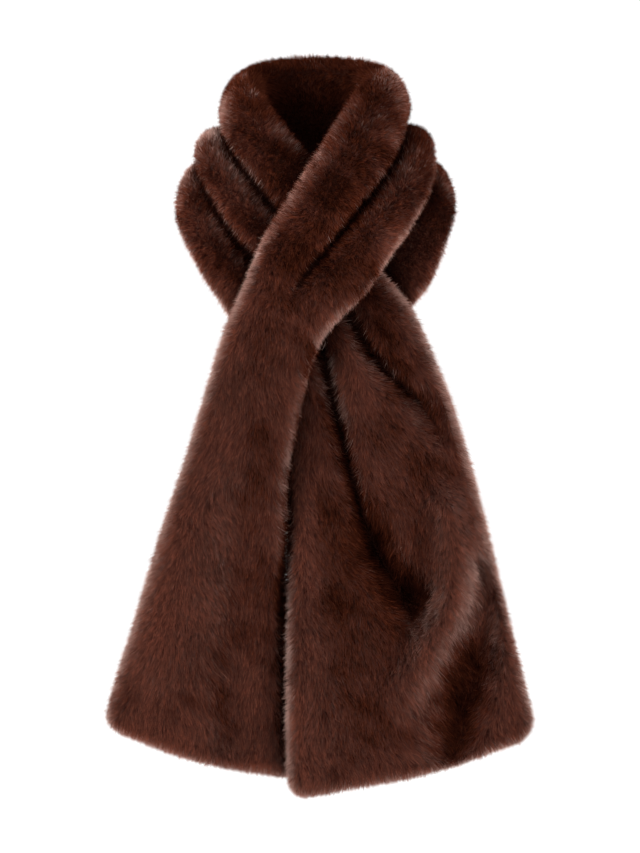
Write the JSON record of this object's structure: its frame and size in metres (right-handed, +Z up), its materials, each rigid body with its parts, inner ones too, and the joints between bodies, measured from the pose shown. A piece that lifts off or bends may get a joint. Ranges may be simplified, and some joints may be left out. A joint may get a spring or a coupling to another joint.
{
  "type": "fur collar wrap",
  "caption": "Long pleated fake-fur wrap, worn: lapped rolls round the neck, ends crossed in front and hanging as wide flared tails.",
  "frame": {"origin": "middle of the neck opening, level with the base of the wearer's throat", "axes": "+Z up along the neck, -Y to the wearer's front, where the ends cross, +X to the wearer's left"},
  "size_m": [0.471, 0.2953, 0.816],
  "materials": {
    "fur": "thick plush fake fur, dark chocolate brown, soft satin sheen on the hair tips"
  },
  "bodies": {
    "root": {"neck_back": "fur", "over_collar": "fur", "tucked_pleat": "fur", "under_collar": "fur", "over_tail": "fur", "under_tail": "fur"}
  },
  "joints": []
}
